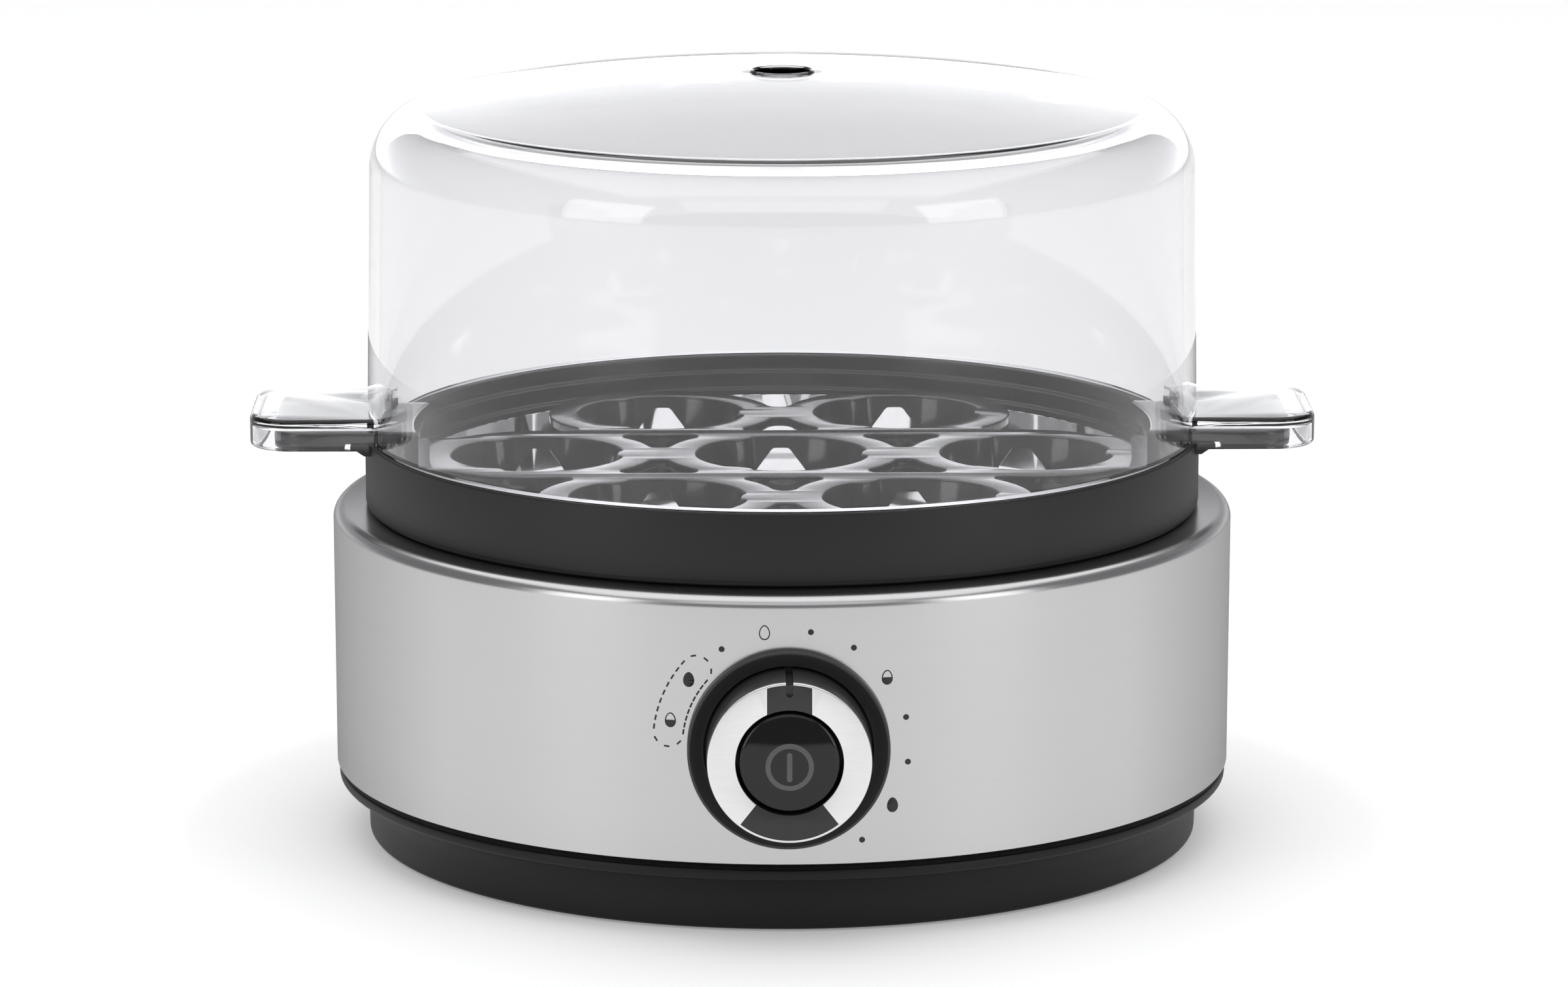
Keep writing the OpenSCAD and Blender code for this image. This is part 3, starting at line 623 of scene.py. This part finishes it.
def eggTray():
    parts = [trayWeb()] + [trayCup(spot) for spot in spots] + trayHandle(1) + trayHandle(-1)
    mesh = meshFrom("eggTray", *joined(*parts))
    place("eggTray", mesh, "trayPlastic", "tray", "tray_plastic", ("egg_tray",))


dial = {"slotHalf": 0.72, "slotDepth": 1.0, "slotIn": 2.3, "recess": 10.5, "ringR": 16.0,
        "inlayOut": 15.5, "inlayHalf": 4.35, "wedge": 38.0}
dialR = (dialHigh[0] - dialLow[0]) / 2 - 0.1
dialFront = -trimLow[1]


def pointerSlot():
    # the slot cut: a bar down the dial's side, and a round-ended bar across its rim
    h, inner = dial["slotHalf"], dialR - dial["slotIn"]
    face = line(arcLine(0, inner, h, 180, 360, 14), (h, dialR + 4), (-h, dialR + 4))
    side = np.array([(-h, dialR - 0.8), (h, dialR - 0.8), (h, dialR + 4), (-h, dialR + 4)])
    cuts = [flatSolid([face], dialFront - dial["slotDepth"], dialFront + 3, 0.01, 1),
            flatSolid([side], 93, dialFront + 3.4, 0.01, 1)]
    return [("DIFFERENCE", (toFront(p, dialZ * mm), f)) for p, f in cuts]


def inlayOutlines(grow=0.0):
    # a straight-sided patch at the top of the dial's face and a wedge at its foot
    o, i = dial["inlayOut"] + grow, dial["recess"] - 0.02
    x = dial["inlayHalf"] + grow
    topPatch = line(arcLine(0, 0, o, math.degrees(math.acos(x / o)), math.degrees(math.acos(-x / o)), 16),
                    arcLine(0, 0, i, math.degrees(math.acos(-x / i)), math.degrees(math.acos(x / i)), 16))
    w = dial["wedge"]
    foot = line(arcLine(0, 0, o, -90 - w, -90 + w, 30), arcLine(0, 0, i, -90 + w, -90 - w, 30))
    return [topPatch, foot]


def dialPieces():
    # the dial's barrel and skirt, its bright face ring, and the dark inlays set into the ring
    r, top = dialR, dialFront
    barrel = line((3, 92.5), arcLine(r - 0.3, 92.8, 0.4, -90, 0, 4), (r + 0.1, 98.6), (r, 99.0),
                  (r, top - 1.1),
                  arcLine(r - 0.3, top - 1.1, 0.3, 0, 90, 5), (dial["recess"], top - 0.8),
                  (dial["recess"], 96), (3, 96))
    points, faces = revolve(barrel, 256)
    mesh = carve(meshFrom("dialBarrel", toFront(points, dialZ * mm), faces), pointerSlot())
    place("dialBarrel", mesh, "dialPlastic", "dial", "black_plastic", ("dial_body",))

    ringProfile = line((dial["recess"], top - 0.8), (dial["ringR"], top - 0.8), (dial["ringR"], top - 0.3),
                       arcLine(dial["ringR"] - 0.3, top - 0.3, 0.3, 0, 90, 6),
                       arcLine(dial["recess"] + 0.2, top - 0.2, 0.2, 90, 180, 5))
    points, faces = revolve(ringProfile, 256)
    pockets = [flatSolid([o], top - 2, top + 2, 0.01, 1) for o in inlayOutlines(0.02)]
    cuts = [("DIFFERENCE", (toFront(p, dialZ * mm), f)) for p, f in pockets]
    mesh = carve(meshFrom("dialRing", toFront(points, dialZ * mm), faces), cuts + pointerSlot())
    place("dialRing", mesh, "trimSteel", "dial", "bright_trim", ("dial_trim",))

    parts = [flatSolid([o], top - 0.8, top - 0.05, 0.04, 2) for o in inlayOutlines()]
    points, faces = joined(*parts)
    mesh = carve(meshFrom("dialInlays", toFront(points, dialZ * mm), faces), pointerSlot())
    place("dialInlays", mesh, "inlayPlastic", "dial", "button_plastic", ("dial_inlays",))


def dialSurround():
    # the fixed surround: a rounded outer lip, a slope inwards and a deep pocket
    r = bezelHigh[0]
    front = -bezelLow[1]
    profile = line((6.1, 87.5), (17.9, 87.5), (17.9, 89.2), (r, 89.2), (r, front - 0.7),
                   arcLine(r - 0.45, front - 0.45, 0.45, 0, 110, 8), (r - 1.3, front - 0.5),
                   (r - 1.7, front - 0.6),
                   (17.0, front - 1.5), arcLine(16.9, front - 1.9, 0.4, 90, 180, 5), (16.5, 90), (6.1, 90))
    points, faces = revolve(profile, 256)
    place("dialSurround", meshFrom("dialSurround", toFront(points, dialZ * mm), faces, 40), "dialPlastic",
          "root",
          "black_plastic", ("dial_bezel",))


def pushButton():
    # a domed cap with a rounded edge
    r, front, rise = (capHigh[0] - capLow[0]) / 2, -capLow[1], 1.5
    domeR = (r * r + rise * rise) / (2 * rise)
    tilt = math.degrees(math.asin((r - 0.75) / domeR))
    edgeZ = front - domeR + (domeR - 0.1) * math.cos(math.radians(tilt))
    profile = line((0, 99), (r - 0.1, 99), (r, 99.1), (r, edgeZ - 0.75),
                   arcLine(r - 0.75, edgeZ - 0.72, 0.75, 0, 74, 7),
                   arcLine(0, front - domeR, domeR, 90 - tilt, 90, 30))
    points, faces = revolve(profile, 200)
    place("pushButton", meshFrom("pushButton", toFront(points, dialZ * mm), faces, 40), "buttonPlastic",
          "button",
          "button_plastic", ("button_cap",))


steelShell()
bowlRing()
dialSurround()
dialPieces()
pushButton()
print("body, ring and dial made")
eggTray()
print("tray made")
clearLid()
print("lid made")

copies = {
    "heating_plate": ("polishedSteel", "polished_steel"), "bowl_seal": ("silicone", "silicone"),
    "plate_studs": ("polishedSteel", "polished_steel"), "plate_nuts": ("zincSteel", "zinc_fasteners"),
    "spreader_plate": ("castAluminium", "spreader_aluminium"),
    "heating_element": ("elementSheath", "element_sheath"),
    "element_terminals": ("zincSteel", "zinc_fasteners"), "thermostat": ("phenolic", "phenolic"),
    "thermostat_clip": ("polishedSteel", "polished_steel"), "thermal_fuse": ("ceramicWhite", "fuse_ceramic"),
    "heat_shield": ("polishedSteel", "polished_steel"), "shield_nuts": ("zincSteel", "zinc_fasteners"),
    "base_housing": ("basePlastic", "black_plastic"), "foot_ring": ("silicone", "silicone"),
    "body_screws": ("zincSteel", "zinc_fasteners"), "cord_gland": ("basePlastic", "black_plastic"),
    "terminal_block": ("whitePlastic", "block_plastic"), "lead_wires": ("wireSleeve", "wire_sleeve"),
    "control_board": ("boardGreen", "board"), "board_screws": ("zincSteel", "zinc_fasteners"),
    "timer_pot": ("potBlue", "pot_blue"), "pot_nut": ("zincSteel", "zinc_fasteners"),
    "power_switch": ("dialPlastic", "black_plastic"), "buzzer": ("dialPlastic", "black_plastic"),
    "dial_marks": ("scaleInk", "scale_ink"), "dial_shaft": ("polishedSteel", "polished_steel"),
    "button_symbol": ("symbolInk", "symbol_grey"), "button_stem": ("whitePlastic", "block_plastic"),
    "switch_plunger": ("whitePlastic", "block_plastic"),
}
for node, (finish, slotName) in copies.items():
    cleanCopy(node, finish, slotName)
print("inner pieces made:", len(copies))

studio = {"floor": 9.0, "floorGrey": 0.93, "floorGlow": 0.24, "world": 0.24, "glow": 2.6, "topLight": 1.2,
          "sideLight": 2.0,
          "frontLight": 0.75, "flagRadius": 0.125, "flagHeight": 0.09, "flagFrom": 62.0, "flagTo": 172.0}


def studioFloor():
    half = studio["floor"] / 2
    mesh = bpy.data.meshes.new("studioFloor")
    mesh.from_pydata([(-half, -half, 0), (half, -half, 0), (half, half, 0), (-half, half, 0)], [],
                     [(0, 1, 2, 3)])
    f = Finish("paleFloor")
    grey = studio["floorGrey"]
    mesh.materials.append(f.done(f.node("ShaderNodeBsdfPrincipled", None, {
        "Base Color": f.mixColour(f.noise(3, detail=1.0), (grey,) * 3, (grey + 0.02,) * 3),
        "Roughness": 0.6,
        "Specular IOR Level": 0.2,
        "Emission Color": (1, 1, 1, 1),
        "Emission Strength": studio["floorGlow"]})))
    floor = bpy.data.objects.new("studioFloor", mesh)
    bpy.context.scene.collection.objects.link(floor)


def studioFlags():
    # two curved black flags behind the body's sides: only mirror-like surfaces see them, as dark edges
    f = Finish("flagCloth")
    mark = f.node("ShaderNodeAttribute", {"attribute_name": "fade"}, output="Fac")
    cloth = f.node("ShaderNodeBsdfDiffuse", None, {"Color": (0.01, 0.01, 0.01, 1)})
    clear = f.node("ShaderNodeBsdfTransparent")
    material = f.done(f.node("ShaderNodeMixShader", None, {0: mark, 1: clear, 2: cloth}))
    for side in (-1, 1):
        share = np.linspace(0, 1, 41)
        turn = np.radians(studio["flagFrom"] + (studio["flagTo"] - studio["flagFrom"]) * share)
        r = studio["flagRadius"]
        low = np.stack([side * r * np.sin(turn), -r * np.cos(turn), 0 * turn + 0.0005], 1)
        high = low + np.array([0, 0, studio["flagHeight"]])
        foot = low * np.array([0.7, 0.7, 1])
        mesh = bpy.data.meshes.new("studioFlag")
        mesh.from_pydata(np.concatenate([foot, low, high]).tolist(), [],
                         gridFaces(3, 41, False, False).tolist())
        fade = mesh.attributes.new("fade", "FLOAT", "POINT")
        fade.data.foreach_set("value", np.tile(np.clip(share / 0.8, 0, 1), 3))
        mesh.materials.append(material)
        flag = bpy.data.objects.new("studioFlag", mesh)
        flag.visible_camera = False
        flag.visible_diffuse = False
        flag.visible_shadow = False
        flag.visible_transmission = False
        bpy.context.scene.collection.objects.link(flag)


def softLamp(name, where, aim, width, height, light):
    # a soft box: its power follows from its size, so the same light level looks equally bright at any size
    lamp = bpy.data.lights.new(name, "AREA")
    lamp.shape = "RECTANGLE"
    lamp.size = width
    lamp.size_y = height
    lamp.energy = light * math.pi * width * height
    holder = bpy.data.objects.new(name, lamp)
    holder.location = where
    ray = np.array(aim, float) - np.array(where, float)
    tilt = math.atan2(math.hypot(ray[0], ray[1]), -ray[2])
    holder.rotation_euler = (tilt, 0, math.atan2(ray[1], ray[0]) - math.pi / 2)
    bpy.context.scene.collection.objects.link(holder)


def studioLight():
    # an even dim surround that glows softly low down behind the object, and large soft boxes
    world = bpy.data.worlds.new("studioWorld")
    world.use_nodes = True
    glow = Finish("glow", world.node_tree)
    _, back, up = glow.axes(glow.node("ShaderNodeTexCoord"))
    across = back.maths("MAXIMUM", 0.0)
    level = across ** 3 * (1 - up) ** 4 * studio["glow"] + studio["world"]
    glow.node("ShaderNodeOutputWorld", None, {"Surface": glow.node("ShaderNodeBackground", None, {
        "Color": (0.975, 0.98, 1.0, 1.0), "Strength": level})}, output=None)
    bpy.context.scene.world = world
    softLamp("topSoft", (0, 0.35, 1.9), (0, 0.35, 0), 3.4, 3.2, studio["topLight"])
    softLamp("leftSoft", (-1.25, -1.05, 0.5), (0, 0, 0.05), 0.7, 0.9, studio["sideLight"])
    softLamp("rightSoft", (1.25, -1.05, 0.5), (0, 0, 0.05), 0.7, 0.9, studio["sideLight"])
    softLamp("frontSoft", (0, -1.9, 1.5), (0, 0, 0.05), 2.2, 0.9, studio["frontLight"])
    bpy.context.scene.view_settings.view_transform = "Standard"
    bpy.context.scene.view_settings.look = "None"


shot = {"away": 1.303, "height": 0.3445, "tilt": 11.877, "turn": -0.8, "lens": 146.4, "shiftX": 0.00125}


def studioCamera():
    camera = bpy.data.cameras.new("camera")
    camera.lens = shot["lens"]
    camera.sensor_width = 36
    camera.shift_x = shot["shiftX"]
    camera.clip_end = 50
    holder = bpy.data.objects.new("camera", camera)
    turn = math.radians(shot["turn"])
    holder.location = (shot["away"] * math.sin(turn), -shot["away"] * math.cos(turn), shot["height"])
    holder.rotation_euler = (math.radians(90 - shot["tilt"]), 0, turn)
    bpy.context.scene.collection.objects.link(holder)
    bpy.context.scene.camera = holder


studioFloor()
studioFlags()
studioLight()
studioCamera()
print("studio ready")
